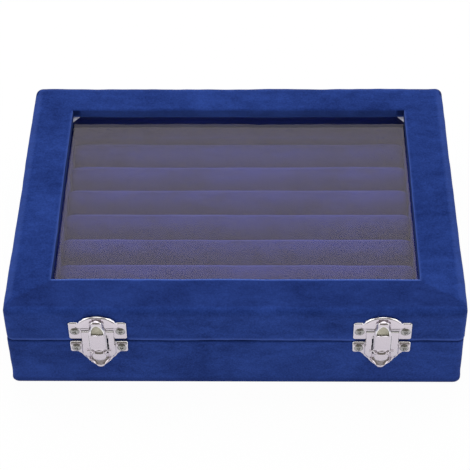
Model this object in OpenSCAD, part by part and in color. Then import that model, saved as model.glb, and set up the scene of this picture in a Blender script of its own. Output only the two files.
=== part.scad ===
// Velvet ring display box with a glazed lid, seven ring rolls and two press latches.
// X is the width, Y the depth with the front at -Y, Z is up from the underside.

/* [Box] */
// Width of the box over its velvet
box_w = 200; // [170:1:240]
// Depth of the box over its velvet
box_d = 150; // [150:1:200]
// Height of the base from the table to its rim
base_h = 27; // [25:0.5:34]
// Height of the lid from its lower edge to its top
lid_h = 18.7; // [18:0.1:26]
// Gap between the rim of the base and the lid
seam_gap = 0.3; // [0.2:0.05:0.8]
// Radius of the upright corners
corner_r = 3; // [2:0.1:6]
// Radius along the top edges of the lid
top_edge_r = 2.4; // [1:0.1:3]
// Radius along the lower edges of the base
foot_edge_r = 1; // [0.5:0.1:1.5]

/* [Boards] */
// Thickness of the fibreboard walls
wall_t = 7; // [6:0.1:9]
// Thickness of the floor panel
floor_t = 2.8; // [2:0.1:4]
// Thickness of the board round the window
window_board_t = 4; // [3:0.1:5]
// Thickness of the card under the rolls
insert_board_t = 2; // [1:0.1:3]

/* [Velvet] */
// Thickness of the velvet on its paper backing
velvet_t = 0.8; // [0.4:0.1:1.2]
// Thickness of the felt under the box
felt_t = 0.6; // [0.4:0.1:1.5]
// How far the felt stays in from the edge of the underside
felt_inset = 2; // [1.5:0.1:6]
// How far the velvet is turned in under the floor panel
turn_in_w = 9; // [5:0.5:20]
// Clearance between boards, card and covers that drop in
drop_in_gap = 0.4; // [0.2:0.05:0.6]

/* [Window] */
// Width of the velvet frame beside the window
frame_side_w = 20.5; // [17:0.1:30]
// Width of the velvet frame in front of the window
frame_front_w = 18.9; // [17:0.1:28]
// Width of the velvet frame behind the window
frame_back_w = 18.1; // [17:0.1:28]
// Radius of the velvet round the edge of the window
window_edge_r = 1.6; // [0.8:0.1:2.4]
// Leg of the bare board triangle in each corner of the window
bare_corner = 3.2; // [1.5:0.1:6]
// Thickness of the glass
glass_t = 2; // [1.5:0.1:3]
// How far the glass reaches under the board on each side
glass_lap = 4; // [3:0.1:5]
// Thickness of the frame lip under the glass
retainer_lip_t = 1.5; // [1:0.1:2.5]
// How far the frame lip reaches under the glass
retainer_lap = 3; // [1.5:0.1:3.5]

/* [Ring rolls] */
// Width of the velvet border beside the rolls
border_side_w = 12.1; // [9:0.1:20]
// Width of the velvet border in front of and behind the rolls
border_end_w = 7.85; // [5:0.05:12]
// How far the border lies below the rim of the base
border_drop = 0.4; // [0.2:0.1:4]
// Gap between neighbouring rolls low down
roll_gap = 0.4; // [0.3:0.05:1]
// How far the rolls stand up over the rim of the base
roll_rise = 1.4; // [-2:0.1:4]
// Radius over the ends of the rolls
roll_end_r = 3.6; // [2:0.1:6]

/* [Latches] */
// Distance of the left latch in from the left side of the box
latch_left_inset = 40.6; // [22:0.1:60]
// Distance of the right latch in from the right side of the box
latch_right_inset = 36.2; // [22:0.1:60]
// Thickness of the sheet metal
sheet_t = 0.8; // [0.6:0.05:0.9]
// Width over the ears of both plates
plate_w = 25.2; // [24:0.1:30]
// Height of the raised panels over the velvet
raised_h = 1.9; // [1.8:0.05:2.1]
// Width of the raised panel
raised_w = 14.6; // [13:0.1:15]
// Distance from the lower edge of the lid up to the lid plate
ear_lift = 2.5; // [1.5:0.1:3]
// Height of the ears of the lid plate
ear_h = 9.6; // [8.5:0.1:10.5]
// Distance from the lower edge of the lid up to the dome
dome_lift = 9.9; // [9.5:0.1:10.3]
// Height of the dome from its lower edge to its crown
dome_h = 6.9; // [6:0.1:7.5]
// Radius of the dome on the lid plate
dome_r = 10.3; // [9.6:0.1:11]
// How far the raised panel of the catch plate stands up over the rim of the base
tongue_rise = 8.2; // [7:0.1:8.8]
// Height of the ears of the catch plate
catch_ear_h = 5.7; // [5:0.1:7]
// Distance from the rim of the base down to the point of the catch plate
catch_drop = 15.8; // [15:0.1:18]
// Width of the lever
lever_w = 7.5; // [6.4:0.1:8]
// Gap between the lever and the raised panels behind it
lever_gap = 0.3; // [0.25:0.05:0.4]
// Distance from the rim of the base down to the lower end of the lever
lever_drop = 9.6; // [8.5:0.1:10]
// Distance from the rim of the base down to the lever pivot
pivot_drop = 3.7; // [3.2:0.1:4]
// How far the pivot stands out from the velvet
pivot_out = 1.85; // [1.8:0.05:2]
// Radius of the pivot pin
pivot_r = 0.6; // [0.4:0.05:0.7]
// Radius of the lever's rolled knuckle
knuckle_r = 1.45; // [1.3:0.05:1.5]
// Radial running clearance on the pins
pin_gap = 0.03; // [0.02:0.01:0.08]
// Radius of the latch screw heads
screw_head_r = 2; // [1.6:0.1:2.2]
// Radius of the latch screw shanks
screw_r = 0.9; // [0.6:0.05:1.1]
// Length of the latch screw shanks
screw_len = 7.4; // [5:0.1:7.8]
// Distance from the middle of a latch to its screws
screw_x = 9.9; // [9.6:0.1:10.4]
// Height of the screws over the lower edge of the lid plate
lid_screw_lift = 4.5; // [3.5:0.1:6]
// Distance from the rim of the base down to the screws of the catch plate
catch_screw_drop = 3.1; // [2.8:0.1:3.4]

/* [Hinges] */
// Distance of the hinges in from the sides of the box
hinge_inset = 40; // [20:1:60]
// Width of a hinge
hinge_w = 18; // [15:0.5:26]
// Height of one hinge leaf
leaf_h = 9; // [8:0.1:12]
// Radius of the hinge barrel
barrel_r = 1.5; // [1.3:0.05:1.8]
// Gap between the hinge barrel and the back of the box
barrel_gap = 0.35; // [0.3:0.05:0.45]
// Radius of the hinge pin
hinge_pin_r = 0.7; // [0.5:0.05:0.8]
// Gap between neighbouring hinge knuckles
knuckle_gap = 0.25; // [0.2:0.05:0.5]
// Radius of the hinge screw heads
hinge_head_r = 1.5; // [1.2:0.1:1.8]
// Height of the hinge screw heads
hinge_head_h = 0.6; // [0.4:0.05:0.7]
// Length of the hinge screw shanks
hinge_screw_len = 6; // [4:0.1:7]

/* [Hidden] */
$fn = 64;
eps = 0.01;
box_h = base_h + seam_gap + lid_h;
lid_z = base_h + seam_gap;
board_w = box_w - 2 * velvet_t;
board_d = box_d - 2 * velvet_t;
board_corner_r = corner_r - velvet_t;
cavity_w = board_w - 2 * wall_t;
cavity_d = board_d - 2 * wall_t;
lined_w = cavity_w - 2 * velvet_t;
lined_d = cavity_d - 2 * velvet_t;
fitted_w = lined_w - 2 * drop_in_gap;
fitted_d = lined_d - 2 * drop_in_gap;
wrap_z = felt_t;
floor_z = felt_t + velvet_t;
floor_top = floor_z + floor_t;
rim_board_z = base_h - velvet_t;
insert_z = floor_top + insert_board_t;
lid_wall_z = lid_z + velvet_t;
window_board_z = box_h - velvet_t - window_board_t;
window_w = box_w - 2 * frame_side_w;
window_d = box_d - frame_front_w - frame_back_w;
window_back = (frame_front_w - frame_back_w) / 2;
window_hole_w = window_w + 2 * velvet_t;
window_hole_d = window_d + 2 * velvet_t;
glass_z = window_board_z - glass_t;
glass_w = window_w + 2 * glass_lap;
glass_d = window_d + 2 * glass_lap;
retainer_z = glass_z - retainer_lip_t;
retainer_hole_w = glass_w - 2 * retainer_lap;
retainer_hole_d = glass_d - 2 * retainer_lap;
front_y = -box_d / 2;
back_y = box_d / 2;

// Rolls and border
roll_count = 7;
border_hole_w = fitted_w - 2 * border_side_w;
border_hole_d = fitted_d - 2 * border_end_w;
border_top = base_h - border_drop;
border_block_z = border_top - velvet_t;
roll_len = border_hole_w - 2 * drop_in_gap;
roll_pitch = (border_hole_d - 2 * drop_in_gap) / roll_count;
roll_r = (roll_pitch - roll_gap) / 2;
roll_core_r = roll_r - velvet_t;
roll_top = base_h + roll_rise;

// Places of the latches and heights of their parts over the table
latch_left_x = latch_left_inset - box_w / 2;
latch_right_x = box_w / 2 - latch_right_inset;
ear_low_z = lid_z + ear_lift;
ear_high_z = ear_low_z + ear_h;
lid_screw_z = ear_low_z + lid_screw_lift;
dome_low_z = lid_z + dome_lift;
dome_centre_z = dome_low_z + dome_h - dome_r;
tongue_top_z = base_h + tongue_rise;
catch_ear_z = base_h - catch_ear_h;
catch_tip_z = base_h - catch_drop;
catch_screw_z = base_h - catch_screw_drop;
lever_low_z = base_h - lever_drop;
pivot_z = base_h - pivot_drop;

// Latch sizes that follow from the sheet
raised_back = raised_h - sheet_t;
lever_back = raised_h + lever_gap;
lever_front = lever_back + sheet_t;
ear_corner_r = 0.7;
bridge_h = 2.2;
thumb_step = 0.4;
thumb_inset = 0.3;
shank_drop = 1.1;
neck_half_w = 2.9;
neck_low_z = dome_low_z - 1.7;
neck_high_z = dome_low_z + 1.7;
nose_r = 3.2;
nose_sheet = 0.7;
nose_bore_r = nose_r - nose_sheet;
nose_out = lever_back - 1.3;
hood_low_z = dome_low_z - 0.2;
nose_centre_z = hood_low_z + 3.6;
door_w = 5.8;
door_h = 5;
door_sill_h = 0.6;
door_arch_r = 2.1;
door_z = tongue_top_z - 0.5;
door_spring_z = door_z + door_h - door_arch_r;
flank_in = lever_w / 2 + 0.55;
lug_r = 1.1;
lug_w = 1;
slot_w = 3.9;
slot_h = 2;
hook_w = 2.4;
hook_out = raised_h + 0.8;
hook_lift = 0.4;
hook_slope = 0.9;
hook_h = 4;
screw_hole_gap = 0.05;
spring_t = 0.3;
ramp_run = 2.2;
flank_low_z = base_h - 7.4;
screw_head_h = 1.1;
screw_crown_r = (screw_head_r * screw_head_r + screw_head_h * screw_head_h) / (2 * screw_head_h);
recess_w = 0.5;
recess_d = 0.45;

// Half widths of the vee below the catch ears, and how far down each is
vee_half_w = 9.6;
vee_waist_drop = 2.4;
vee_turn_drop = 3.3;
vee_mid_half_w = 4.6;
vee_mid_drop = 5.1;
vee_end_half_w = 2.1;
vee_end_r = 1.9;

// Hinge sizes
hinge_x = box_w / 2 - hinge_inset;
pivot_y = back_y + barrel_gap + barrel_r;
hinge_z = base_h + seam_gap / 2;
hinge_screw_r = 0.8;
hinge_screw_inset = 3.2;
hinge_screw_edge = 3.4;
hinge_screw_x = hinge_w / 2 - hinge_screw_inset;
hinge_screw_drop = leaf_h - hinge_screw_edge;
leaf_notch = barrel_r + 0.4;
mid_knuckle_w = hinge_w / 3;

velvet_blue = "#21366f";
border_blue = "#2b3d7a";
board_tan = "#b79a6b";
pale_board = "#c9c7d2";
plated = "#d8d2d8";
dark_steel = "#8c8a90";
foam_grey = "#9a9ca6";
felt_blue = "#1c2c5c";

// Flat outline with round corners, centred
module round_rect(w, d, r) {
  square([w - 2 * r, d], center = true);
  square([w, d - 2 * r], center = true);
  for (x = [-1, 1], y = [-1, 1])
    translate([x * (w / 2 - r), y * (d / 2 - r)]) circle(r);
}

module slab(w, d, r, z0, z1) {
  translate([0, 0, z0]) linear_extrude(z1 - z0) round_rect(w, d, r);
}

module block(w, d, z0, z1) {
  translate([-w / 2, -d / 2, z0]) cube([w, d, z1 - z0]);
}

// Side view of a box whose upper corners are rounded
module crowned_side(w, z0, z1, r) {
  translate([-w / 2, z0]) square([w, z1 - z0 - r]);
  translate([-w / 2 + r, z0]) square([w - 2 * r, z1 - z0]);
  for (x = [-1, 1])
    translate([x * (w / 2 - r), z1 - r]) circle(r);
}

// Box with round upright corners and round top edges
module crowned_box(w, d, z0, z1, corner, edge) {
  intersection() {
    slab(w, d, corner, z0, z1);
    translate([0, d, 0]) rotate([90, 0, 0]) linear_extrude(2 * d) crowned_side(w, z0, z1, edge);
    translate([-w, 0, 0]) rotate([90, 0, 90]) linear_extrude(2 * w) crowned_side(d, z0, z1, edge);
  }
}

module footed_box(w, d, z0, z1, corner, edge) {
  translate([0, 0, z0 + z1]) mirror([0, 0, 1]) crowned_box(w, d, z0, z1, corner, edge);
}

// Shank holes of the screws that hold the latches and hinges
module latch_holes(z) {
  for (x = [latch_left_x, latch_right_x], s = [-1, 1])
    translate([x + s * screw_x, front_y - 2, z]) rotate([-90, 0, 0])
      cylinder(r = screw_r + screw_hole_gap, h = screw_len + 2.2);
}

module hinge_holes(z) {
  for (x = [-hinge_x, hinge_x], s = [-1, 1])
    translate([x + s * hinge_screw_x, back_y + 2, z]) rotate([90, 0, 0])
      cylinder(r = hinge_screw_r + screw_hole_gap, h = hinge_screw_len + 2.2);
}

// Base boards
module base_floor_panel() {
  color(board_tan) slab(board_w, board_d, board_corner_r, floor_z, floor_top);
}

module front_strip(z0, z1) {
  intersection() {
    slab(board_w, board_d, board_corner_r, z0, z1);
    translate([-board_w / 2, -board_d / 2, z0]) cube([board_w, wall_t, z1 - z0]);
  }
}

module side_strip(z0, z1) {
  translate([cavity_w / 2, -cavity_d / 2, z0]) cube([wall_t, cavity_d, z1 - z0]);
}

module base_front_wall() {
  color(board_tan) difference() {
    front_strip(floor_top, rim_board_z);
    latch_holes(catch_screw_z);
  }
}

module base_back_wall() {
  color(board_tan) difference() {
    mirror([0, 1, 0]) front_strip(floor_top, rim_board_z);
    hinge_holes(hinge_z - hinge_screw_drop);
  }
}

module base_left_wall() {
  color(board_tan) mirror([1, 0, 0]) side_strip(floor_top, rim_board_z);
}

module base_right_wall() {
  color(board_tan) side_strip(floor_top, rim_board_z);
}

// Velvet over the outside, the rim and the inside of the base, turned in below
module base_velvet_wrap() {
  color(velvet_blue) difference() {
    footed_box(box_w, box_d, wrap_z, base_h, corner_r, foot_edge_r);
    slab(board_w, board_d, board_corner_r, floor_z, floor_top);
    difference() {
      slab(board_w, board_d, board_corner_r, floor_top - eps, rim_board_z);
      block(cavity_w, cavity_d, floor_top - 1, base_h);
    }
    block(lined_w, lined_d, floor_top - eps, base_h + 1);
    block(board_w - 2 * turn_in_w, board_d - 2 * turn_in_w, wrap_z - 1, floor_z + eps);
    latch_holes(catch_screw_z);
    hinge_holes(hinge_z - hinge_screw_drop);
  }
}

module underside_felt() {
  color(felt_blue)
    slab(box_w - 2 * felt_inset, box_d - 2 * felt_inset, corner_r, 0, felt_t);
}

// Insert with its border and rolls
module insert_board() {
  color(pale_board) block(fitted_w, fitted_d, floor_top, insert_z);
}

module border_end_block() {
  inner = border_hole_d / 2 + velvet_t;
  translate([-fitted_w / 2, inner, insert_z])
    cube([fitted_w, fitted_d / 2 - inner, border_block_z - insert_z]);
}

module border_side_block() {
  inner = border_hole_w / 2 + velvet_t;
  half_d = border_hole_d / 2 + velvet_t;
  translate([inner, -half_d, insert_z])
    cube([fitted_w / 2 - inner, 2 * half_d, border_block_z - insert_z]);
}

module border_front_block() {
  color(foam_grey) mirror([0, 1, 0]) border_end_block();
}

module border_back_block() {
  color(foam_grey) border_end_block();
}

module border_left_block() {
  color(foam_grey) mirror([1, 0, 0]) border_side_block();
}

module border_right_block() {
  color(foam_grey) border_side_block();
}

module border_velvet() {
  color(border_blue) difference() {
    block(fitted_w, fitted_d, insert_z, border_top);
    difference() {
      block(fitted_w + 2, fitted_d + 2, insert_z - 1, border_block_z);
      block(border_hole_w + 2 * velvet_t, border_hole_d + 2 * velvet_t, insert_z - 2, base_h);
    }
    block(border_hole_w, border_hole_d, insert_z - 1, base_h);
  }
}

function roll_y(i) = (i - (roll_count + 1) / 2) * roll_pitch;

// A stuffed bar with a crowned top and rounded ends, standing on the card
module roll_bar(i, inset) {
  r = roll_r - inset;
  len = roll_len - 2 * inset;
  top = roll_top - inset;
  translate([0, roll_y(i), 0]) intersection() {
    translate([-len / 2, 0, 0]) rotate([90, 0, 90]) linear_extrude(len) {
      translate([-r, insert_z]) square([2 * r, top - r - insert_z]);
      intersection() {
        translate([0, top - r]) circle(r);
        translate([-r, top - r - 1]) square([2 * r, r + 2]);
      }
    }
    translate([0, r + 1, 0]) rotate([90, 0, 0]) linear_extrude(2 * r + 2)
      crowned_side(len, insert_z - 1, top, roll_end_r - inset);
  }
}

module roll_foam(i) {
  color(foam_grey) roll_bar(i, velvet_t);
}

module roll_velvet(i) {
  color(velvet_blue) difference() {
    roll_bar(i, 0);
    roll_bar(i, velvet_t);
  }
}

// Latch parts are drawn upright about x = 0 with the velvet face at y = 0 and the front at -y
module at_latch(x) {
  translate([x, front_y, 0]) children();
}

// Sheet between two depths, cut to an outline drawn in x and z
module sheet(out0, out1) {
  translate([0, -out0, 0]) rotate([90, 0, 0]) linear_extrude(out1 - out0) children();
}

module ear_row(z0, z1) {
  translate([0, (z0 + z1) / 2]) round_rect(plate_w, z1 - z0, ear_corner_r);
}

module plate_screw_holes(z) {
  for (x = [-screw_x, screw_x])
    translate([x, 1, z]) rotate([90, 0, 0]) cylinder(r = screw_r + screw_hole_gap, h = 4);
}

module dome_cone(grow, out0, out1) {
  translate([0, -out0, dome_centre_z]) rotate([90, 0, 0])
    cylinder(r1 = dome_r + grow, r2 = dome_r + grow - 1, h = out1 - out0);
}

// Lid plate: flat ears, a raised dome and the hook that the lever's hood catches
module lid_plate() {
  color(plated) difference() {
    union() {
      sheet(0, sheet_t) ear_row(ear_low_z, ear_high_z);
      intersection() {
        dome_cone(0, 0, raised_h);
        translate([-dome_r, -raised_h - 1, dome_low_z]) cube([2 * dome_r, raised_h + 1, dome_r]);
      }
      translate([-hook_w / 2, 0, 0]) rotate([90, 0, 90]) linear_extrude(hook_w)
        polygon([[-raised_back, dome_low_z + hook_lift],
                 [-hook_out, dome_low_z + hook_lift + hook_slope],
                 [-hook_out, dome_low_z + hook_h - hook_slope],
                 [-raised_back, dome_low_z + hook_h]]);
    }
    intersection() {
      dome_cone(-sheet_t, -1, raised_back);
      translate([-dome_r, -raised_back, dome_low_z - eps])
        cube([2 * dome_r, raised_back + 1, dome_r]);
    }
    plate_screw_holes(lid_screw_z);
  }
}

// Half outline of the catch plate from its rim edge down to the point, mirrored by the caller
module catch_half() {
  polygon([
    [0, base_h], [plate_w / 2 - ear_corner_r, base_h], [plate_w / 2, base_h - ear_corner_r],
    [plate_w / 2, catch_ear_z + ear_corner_r], [plate_w / 2 - ear_corner_r, catch_ear_z],
    [vee_half_w, catch_ear_z], [raised_w / 2, catch_ear_z - vee_waist_drop],
    [raised_w / 2 - 0.3, catch_ear_z - vee_turn_drop],
    [vee_mid_half_w, catch_ear_z - vee_mid_drop], [vee_end_half_w, catch_tip_z + vee_end_r],
    [0, catch_tip_z + vee_end_r]
  ]);
}

module catch_outline() {
  catch_half();
  mirror([1, 0]) catch_half();
  translate([0, catch_tip_z + vee_end_r]) circle(vee_end_r);
}

// One flank of the raised panel, with its ramp down to the flat point
module flank_side() {
  polygon([
    [0, flank_low_z - ramp_run - 0.4], [-sheet_t, flank_low_z - ramp_run],
    [-raised_h, flank_low_z], [-raised_h, tongue_top_z], [-raised_back, tongue_top_z],
    [-raised_back, flank_low_z + 0.6], [-sheet_t + 0.4, flank_low_z - ramp_run + 1.6],
    [0, flank_low_z - ramp_run + 1.6]
  ]);
}

module raised_panel() {
  for (s = [0, 1]) mirror([s, 0, 0]) {
    translate([flank_in, 0, 0]) rotate([90, 0, 90])
      linear_extrude(raised_w / 2 - flank_in) flank_side();
    translate([raised_w / 2 - sheet_t, -raised_h, flank_low_z])
      cube([sheet_t, raised_h, base_h - flank_low_z]);
    translate([flank_in, -pivot_out, pivot_z]) rotate([0, 90, 0])
      cylinder(r = lug_r, h = lug_w);
  }
  translate([-raised_w / 2, -raised_h, tongue_top_z - bridge_h])
    cube([raised_w, sheet_t, bridge_h]);
}

module catch_plate() {
  color(plated) difference() {
    union() {
      difference() {
        sheet(0, sheet_t) catch_outline();
        translate([-raised_w / 2 + sheet_t, -sheet_t - 1, flank_low_z + 1.2])
          cube([raised_w - 2 * sheet_t, sheet_t + 2, base_h]);
      }
      raised_panel();
    }
    translate([-raised_w / 2, -pivot_out, pivot_z]) rotate([0, 90, 0])
      cylinder(r = pivot_r + pin_gap, h = raised_w);
    plate_screw_holes(catch_screw_z);
  }
}

module catch_spring() {
  color(dark_steel)
    translate([-raised_w / 2 + sheet_t + 0.2, -spring_t, flank_low_z + 1.6])
      cube([raised_w - 2 * sheet_t - 0.4, spring_t, base_h - flank_low_z - 2]);
}

module lever_pin() {
  color(dark_steel) translate([-flank_in - lug_w, -pivot_out, pivot_z]) rotate([0, 90, 0])
    cylinder(r = pivot_r, h = 2 * (flank_in + lug_w));
}

// Outline of the lever sheet from its round lower end to the neck
module lever_outline() {
  shank_z = pivot_z - shank_drop;
  translate([-lever_w / 2, shank_z]) square([lever_w, neck_low_z - shank_z]);
  polygon([[-lever_w / 2, neck_low_z - eps], [lever_w / 2, neck_low_z - eps],
           [neck_half_w, neck_high_z], [neck_half_w, nose_centre_z],
           [-neck_half_w, nose_centre_z], [-neck_half_w, neck_high_z]]);
}

module thumb_outline() {
  end_r = lever_w / 2 - thumb_inset;
  translate([0, lever_low_z + end_r]) circle(end_r);
  translate([-end_r, lever_low_z + end_r]) square([2 * end_r, pivot_z - lever_low_z - end_r]);
}

module door_outline() {
  translate([0, door_spring_z]) circle(door_arch_r);
  polygon([[-door_w / 2, door_z], [door_w / 2, door_z], [door_w / 2, door_z + door_sill_h],
           [door_arch_r, door_spring_z], [-door_arch_r, door_spring_z],
           [-door_w / 2, door_z + door_sill_h]]);
}

// Hood on the upper end: a round topped shell, open at the back
module hood() {
  h = nose_centre_z - hood_low_z;
  difference() {
    union() {
      translate([0, -nose_out, hood_low_z]) cylinder(r = nose_r, h = h);
      translate([0, -nose_out, nose_centre_z]) sphere(nose_r);
    }
    translate([0, -nose_out, hood_low_z - 1]) cylinder(r = nose_bore_r, h = h + 1);
    translate([0, -nose_out, nose_centre_z]) sphere(nose_bore_r);
    translate([-nose_r - 1, -lever_back, hood_low_z - nose_r])
      cube([2 * nose_r + 2, 3 * nose_r, 4 * nose_r]);
  }
}

// Lever: flat shank, hooded mouth above, rolled knuckle and rounded thumb end below
module latch_lever() {
  color(plated) difference() {
    union() {
      difference() {
        sheet(lever_back, lever_front) lever_outline();
        translate([0, -nose_out, hood_low_z - 0.1]) cylinder(r = nose_bore_r, h = 2.5 * nose_r);
      }
      sheet(lever_back + thumb_step, lever_front + thumb_step) thumb_outline();
      translate([-lever_w / 2, -pivot_out, pivot_z]) rotate([0, 90, 0])
        cylinder(r = knuckle_r, h = lever_w);
      hood();
    }
    sheet(0, 3 * lever_front) door_outline();
    translate([-lever_w, -pivot_out, pivot_z]) rotate([0, 90, 0])
      cylinder(r = pivot_r + pin_gap, h = 2 * lever_w);
    translate([-slot_w / 2, -pivot_out - 3, pivot_z - slot_h / 2]) cube([slot_w, 3, slot_h]);
  }
}

// A round headed screw with a cross recess, pointing into the box along +y
module front_screw() {
  difference() {
    union() {
      intersection() {
        translate([0, screw_crown_r - screw_head_h, 0]) sphere(screw_crown_r);
        rotate([90, 0, 0]) cylinder(r = screw_head_r, h = screw_head_h);
      }
      rotate([-90, 0, 0]) cylinder(r = screw_r, h = screw_len);
    }
    for (a = [0, 90])
      rotate([0, a, 0]) translate([-1, -screw_head_h - 1, -recess_w / 2])
        cube([2, 1 + recess_d, recess_w]);
  }
}

module latch_screws(z) {
  color(dark_steel) for (x = [latch_left_x, latch_right_x], s = [-1, 1])
    translate([x + s * screw_x, front_y - sheet_t, z]) front_screw();
}

// Hinges
module hinge_pin(x) {
  color(dark_steel) translate([x - hinge_w / 2, pivot_y, hinge_z]) rotate([0, 90, 0])
    cylinder(r = hinge_pin_r, h = hinge_w);
}

// Knuckles as [start, width] along the hinge
base_knuckles = [[0, mid_knuckle_w], [2 * mid_knuckle_w, mid_knuckle_w]];
lid_knuckles = [[mid_knuckle_w + knuckle_gap, mid_knuckle_w - 2 * knuckle_gap]];

// One leaf standing up from the pivot line, turned over for the base
module leaf(x, knuckles) {
  difference() {
    union() {
      translate([x - hinge_w / 2, back_y, hinge_z + leaf_notch])
        cube([hinge_w, sheet_t, leaf_h - leaf_notch]);
      for (k = knuckles) translate([x - hinge_w / 2 + k[0], 0, 0]) {
        translate([0, pivot_y, hinge_z]) rotate([0, 90, 0]) cylinder(r = barrel_r, h = k[1]);
        translate([0, back_y, hinge_z]) cube([k[1], sheet_t, leaf_h / 2]);
      }
    }
    translate([x - hinge_w, pivot_y, hinge_z]) rotate([0, 90, 0])
      cylinder(r = hinge_pin_r + pin_gap, h = 2 * hinge_w);
    for (s = [-1, 1])
      translate([x + s * hinge_screw_x, back_y + 2, hinge_z + hinge_screw_drop]) rotate([90, 0, 0])
        cylinder(r = hinge_screw_r + screw_hole_gap, h = 3);
  }
}

module lid_leaf(x) {
  color(dark_steel) leaf(x, lid_knuckles);
}

module base_leaf(x) {
  color(dark_steel) translate([0, 0, 2 * hinge_z]) mirror([0, 0, 1]) leaf(x, base_knuckles);
}

module hinge_screws(z) {
  color(dark_steel) for (x = [-hinge_x, hinge_x], s = [-1, 1])
    translate([x + s * hinge_screw_x, back_y + sheet_t, z]) {
      rotate([-90, 0, 0]) cylinder(r1 = hinge_head_r, r2 = hinge_head_r - 0.4, h = hinge_head_h);
      rotate([90, 0, 0]) cylinder(r = hinge_screw_r, h = hinge_screw_len);
    }
}

// Lid
module lid_window_board() {
  color(pale_board) difference() {
    slab(board_w, board_d, board_corner_r, window_board_z, box_h - velvet_t);
    translate([0, window_back, 0]) linear_extrude(box_h + 1) board_hole();
  }
}

// Hole in the window board, with its corners left bare across the diagonal
module board_hole() {
  w = window_hole_w / 2;
  d = window_hole_d / 2;
  c = bare_corner + velvet_t;
  polygon([[w - c, -d], [w, c - d], [w, d - c], [w - c, d], [c - w, d], [-w, d - c],
           [-w, c - d], [c - w, -d]]);
}

module lid_front_wall() {
  color(board_tan) difference() {
    front_strip(lid_wall_z, window_board_z);
    latch_holes(lid_screw_z);
  }
}

module lid_back_wall() {
  color(board_tan) difference() {
    mirror([0, 1, 0]) front_strip(lid_wall_z, window_board_z);
    hinge_holes(hinge_z + hinge_screw_drop);
  }
}

module lid_left_wall() {
  color(board_tan) mirror([1, 0, 0]) side_strip(lid_wall_z, window_board_z);
}

module lid_right_wall() {
  color(board_tan) side_strip(lid_wall_z, window_board_z);
}

// Waste removed along one straight edge of the window to leave it round
module edge_waste(len) {
  translate([-len / 2, 0, 0]) difference() {
    translate([0, -window_edge_r, -window_edge_r])
      cube([len, window_edge_r + 1, window_edge_r + 1]);
    translate([-1, -window_edge_r, -window_edge_r]) rotate([0, 90, 0])
      cylinder(r = window_edge_r, h = len + 2);
  }
}

// Velvet over the lid, down round the window edge and under the lower edge
module lid_velvet_wrap() {
  color(velvet_blue) difference() {
    crowned_box(box_w, box_d, lid_z, box_h, corner_r, top_edge_r);
    slab(board_w, board_d, board_corner_r, lid_wall_z, window_board_z);
    difference() {
      slab(board_w, board_d, board_corner_r, window_board_z - eps, box_h - velvet_t);
      translate([0, window_back, window_board_z - 1]) linear_extrude(window_board_t + 1) board_hole();
    }
    translate([0, window_back, 0]) block(window_w, window_d, window_board_z - 1, box_h + 1);
    block(cavity_w, cavity_d, lid_z - 1, window_board_z - eps);
    translate([0, window_back, box_h]) {
      for (s = [0, 180]) rotate([0, 0, s]) {
        translate([0, -window_d / 2, 0]) edge_waste(window_w);
        rotate([0, 0, 90]) translate([0, -window_w / 2, 0]) edge_waste(window_d);
      }
    }
    latch_holes(lid_screw_z);
    hinge_holes(hinge_z + hinge_screw_drop);
  }
}

module lid_lining() {
  color(border_blue) difference() {
    block(cavity_w, cavity_d, lid_z, window_board_z);
    block(lined_w, lined_d, lid_z - 1, window_board_z + 1);
  }
}

module glass_pane() {
  color("#9fa8b8", 0.35) translate([0, window_back, 0])
    block(glass_w, glass_d, glass_z, window_board_z);
}

module glass_retainer() {
  color(border_blue) difference() {
    block(fitted_w, fitted_d, retainer_z, window_board_z);
    translate([0, window_back, 0]) {
      block(retainer_hole_w, retainer_hole_d, retainer_z - 1, window_board_z + 1);
      block(glass_w + drop_in_gap, glass_d + drop_in_gap, glass_z, window_board_z + 1);
    }
  }
}

base_floor_panel();
base_front_wall();
base_back_wall();
base_left_wall();
base_right_wall();
base_velvet_wrap();
underside_felt();
insert_board();
border_front_block();
border_back_block();
border_left_block();
border_right_block();
border_velvet();
roll_foam(1);  // roll_foam_1
roll_foam(2);  // roll_foam_2
roll_foam(3);  // roll_foam_3
roll_foam(4);  // roll_foam_4
roll_foam(5);  // roll_foam_5
roll_foam(6);  // roll_foam_6
roll_foam(7);  // roll_foam_7
roll_velvet(1);  // roll_velvet_1
roll_velvet(2);  // roll_velvet_2
roll_velvet(3);  // roll_velvet_3
roll_velvet(4);  // roll_velvet_4
roll_velvet(5);  // roll_velvet_5
roll_velvet(6);  // roll_velvet_6
roll_velvet(7);  // roll_velvet_7
at_latch(latch_left_x) catch_plate();  // catch_plate_left
at_latch(latch_right_x) catch_plate();  // catch_plate_right
at_latch(latch_left_x) catch_spring();  // catch_spring_left
at_latch(latch_right_x) catch_spring();  // catch_spring_right
at_latch(latch_left_x) lever_pin();  // lever_pin_left
at_latch(latch_right_x) lever_pin();  // lever_pin_right
latch_screws(catch_screw_z);  // catch_screws
base_leaf(-hinge_x);  // hinge_base_leaf_left
base_leaf(hinge_x);  // hinge_base_leaf_right
hinge_pin(-hinge_x);  // hinge_pin_left
hinge_pin(hinge_x);  // hinge_pin_right
hinge_screws(hinge_z - hinge_screw_drop);  // hinge_base_screws
lid_window_board();
lid_front_wall();
lid_back_wall();
lid_left_wall();
lid_right_wall();
lid_velvet_wrap();
lid_lining();
glass_pane();
glass_retainer();
at_latch(latch_left_x) lid_plate();  // lid_plate_left
at_latch(latch_right_x) lid_plate();  // lid_plate_right
latch_screws(lid_screw_z);  // lid_plate_screws
lid_leaf(-hinge_x);  // hinge_lid_leaf_left
lid_leaf(hinge_x);  // hinge_lid_leaf_right
hinge_screws(hinge_z + hinge_screw_drop);  // hinge_lid_screws
at_latch(latch_left_x) latch_lever();  // latch_lever_left
at_latch(latch_right_x) latch_lever();  // latch_lever_right
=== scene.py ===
import math

import bmesh
import bpy
import numpy as np
from mathutils import Matrix, Vector, noise
from mathutils.geometry import delaunay_2d_cdt


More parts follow.
